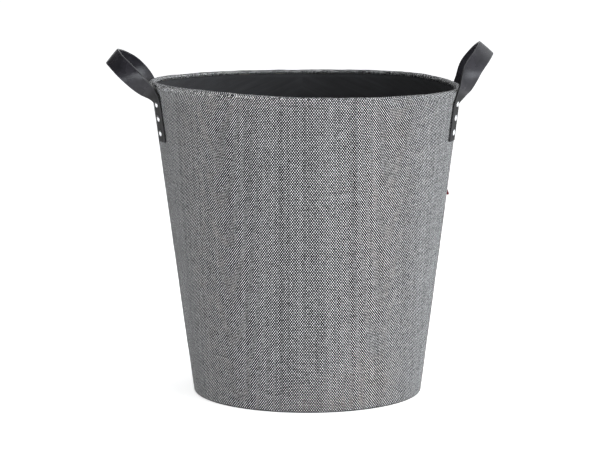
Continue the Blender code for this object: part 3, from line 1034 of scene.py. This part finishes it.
def lathe(name, outline, matrix, look, count=48):
    """A turned piece: outline runs (radius, height) from the middle to the middle or round a hole."""
    closed = outline[0][0] > 0
    around = lengths_along(outline + outline[:1])
    rings, flat = [], []
    for i in range(count + 1):
        angle = 2 * math.pi * i / count
        if i < count:
            ring = [Vector((r * math.cos(angle), r * math.sin(angle), z)) for r, z in outline]
            rings.append([matrix @ point for point in ring])
        flat.append([(angle * CAP_RADIUS, s) for s in around])
    piece = loft(name, rings, flat, look, close_rings=closed, close_path=True)
    bm = bmesh.new()
    bm.from_mesh(piece.data)
    bmesh.ops.remove_doubles(bm, verts=bm.verts, dist=0.01 * MM)
    bm.to_mesh(piece.data)
    bm.free()
    face_outward(piece)
    return piece


def rivet_matrix(to_bin, z, far):
    """Place of a rivet: its +Z points out of the strap, from the strap's outer face."""
    lower, upper = leg_point(z - 0.001), leg_point(z + 0.001)
    level = Vector((math.sin(LEG_ANGLE), math.cos(LEG_ANGLE), 0.0))
    through = level.cross(upper - lower).normalized()
    if through.x < 0:
        through = -through
    middle = leg_point(z)
    if far:
        middle, through = mirrored(middle), mirrored(through)
    turn = (to_bin @ through).to_track_quat("Z", "Y").to_matrix().to_4x4()
    return Matrix.Translation(to_bin @ (middle + through * (STRAP / 2))) @ turn


def make_rivets(side, to_bin):
    """Domed caps on both legs, with their burrs inside the bin."""
    lining_face = -STRAP - WALL_DEPTH
    burr_face = lining_face - BURR
    under_cap = -0.3 * MM
    cap = [(0.0, CAP_HEIGHT), (0.9 * MM, CAP_HEIGHT - 0.03 * MM)]
    for degrees in range(25, 86, 10):
        angle = math.radians(degrees)
        cap.append((CAP_RADIUS * math.sin(angle), CAP_HEIGHT * math.cos(angle) ** 0.85))
    cap += [(CAP_RADIUS, -0.05 * MM), (CAP_RADIUS - 0.5 * MM, under_cap), (POST_RADIUS, under_cap)]
    cap += [(POST_RADIUS, burr_face + 0.1 * MM), (POST_RADIUS + 0.45 * MM, burr_face - 0.05 * MM)]
    cap += [(POST_RADIUS + 0.4 * MM, burr_face - 0.4 * MM), (POST_RADIUS - 0.2 * MM, burr_face - 0.7 * MM)]
    cap += [(0.0, burr_face - 0.8 * MM)]
    inner, outer = POST_RADIUS + 0.1 * MM, BURR_RADIUS
    washer = [(inner, lining_face), (outer - 0.2 * MM, lining_face), (outer, lining_face - 0.2 * MM)]
    washer += [(outer - 0.1 * MM, lining_face - 0.6 * MM), (outer - 1.0 * MM, burr_face + 0.05 * MM)]
    washer += [(inner, burr_face)]
    for end, far in (("front", False), ("back", True)):
        for number, z in enumerate(RIVET_HEIGHTS, 1):
            node = f"{side}_handle_{end}_leg"
            place = rivet_matrix(to_bin, z, far)
            rivet = lathe(f"{node}_rivet_{number}_cap", cap, place, LOOKS["metal"])
            burr = lathe(f"{node}_burr_{number}_washer", washer, place, LOOKS["metal"])
            for piece, replaced in ((rivet, f"{node}_rivet_{number}"), (burr, f"{node}_burr_{number}")):
                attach(piece, BIN)
                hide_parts(replaced)


def make_handle(side, sign, routes):
    """A strap with its rivets. routes: the near and the far half's.
    """
    to_bin = handle_frame(sign)
    name = f"{side}_handle"
    strap = make_strap(f"{name}_strap", sign, routes, 1.0 if sign > 0 else 0.0)
    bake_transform(strap)
    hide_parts(f"{name}_loop", f"{name}_front_leg", f"{name}_back_leg")
    make_rivets(side, to_bin)


def finish_base_board():
    """The base board keeps its CAD shape and gets its look."""
    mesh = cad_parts["base_board"].data
    mesh.materials.clear()
    mesh.materials.append(LOOKS["board"])


# ---------------------------------------------------------------- studio


def add_light(name, place, target, size, power, colour=(1, 1, 1)):
    """A rectangular lamp at a place, turned to a target."""
    data = bpy.data.lights.new(name, "AREA")
    data.shape = "RECTANGLE"
    data.size, data.size_y = size
    data.energy = power
    data.color = colour
    light = bpy.data.objects.new(name, data)
    light.location = place
    light.rotation_euler = (Vector(target) - Vector(place)).to_track_quat("-Z", "Y").to_euler()
    bpy.context.scene.collection.objects.link(light)


def studio_light():
    """White straight behind the bin, dim in front of it, bright on the right, and warm on the left."""
    world = bpy.data.worlds.new("studio")
    world.use_nodes = True
    s = Nodes(world.node_tree)
    # Here Generated is the direction that the light comes from.
    rightward, backward = s.split(s.node("TexCoord").outputs["Generated"])[:2]
    in_front = s.ramp(rightward, 0.05, 0.95, FRONT_LEFT_LIGHT, FRONT_RIGHT_LIGHT)
    background = world.node_tree.nodes["Background"]
    s.put(background.inputs["Color"], s.mix(s.ramp(rightward, -0.9, -0.2), WARM, COOL))
    s.put(background.inputs["Strength"], s.ramp(backward, 0.88, 0.96, in_front, BACK_LIGHT))
    return world


def make_camera():
    """The camera, a little to the left of straight in front, looking down at the bin."""
    data = bpy.data.cameras.new("camera")
    data.lens = CAMERA_LENS
    camera = bpy.data.objects.new("camera", data)
    turn = math.radians(CAMERA_TURN)
    aside = Vector((math.cos(turn), math.sin(turn), 0.0)) * CAMERA_SIDE
    place = Vector((CAMERA_DISTANCE * math.sin(turn), -CAMERA_DISTANCE * math.cos(turn), CAMERA_HEIGHT))
    place += aside
    target = Vector((0.0, 0.0, CAMERA_AIM)) + aside
    camera.location = place
    camera.rotation_euler = (target - place).to_track_quat("-Z", "Y").to_euler()
    bpy.context.scene.collection.objects.link(camera)
    bpy.context.scene.camera = camera


def make_studio():
    """Pale floor, soft light from the right and above, and a strip that the left grip reflects."""
    mesh = bpy.data.meshes.new("floor")
    corners = [(x * FLOOR_HALF, y * FLOOR_HALF, 0) for x, y in ((-1, -1), (1, -1), (1, 1), (-1, 1))]
    mesh.from_pydata(corners, [], [(0, 1, 2, 3)])
    mesh.materials.append(LOOKS["floor"])
    show("studio_floor", mesh)
    bpy.context.scene.world = studio_light()
    bpy.context.scene.view_settings.view_transform = "Standard"
    add_light("overhead", (0.2, -0.2, 2.6), (0.0, 0.0, 0.0), (2.4, 2.4), 26.0)
    middle, left_grip = (0.0, 0.0, 0.2), (-0.2, 0.0, 0.38)
    key_colour, strip_colour = (0.89, 0.945, 1.0), (0.92, 0.96, 1.0)
    add_light("key_right", (1.8, -1.9, 0.7), middle, (1.0, 1.6), 32.0, key_colour)
    add_light("strip_left", (-1.72, -1.50, 0.60), left_grip, (0.10, 0.5), 9.5, strip_colour)


make_tub()
finish_base_board()
make_handle("left", -1, (LEFT_ROUTE, LEFT_FAR_ROUTE))
make_handle("right", 1, (RIGHT_ROUTE, RIGHT_ROUTE))
make_studio()
make_camera()
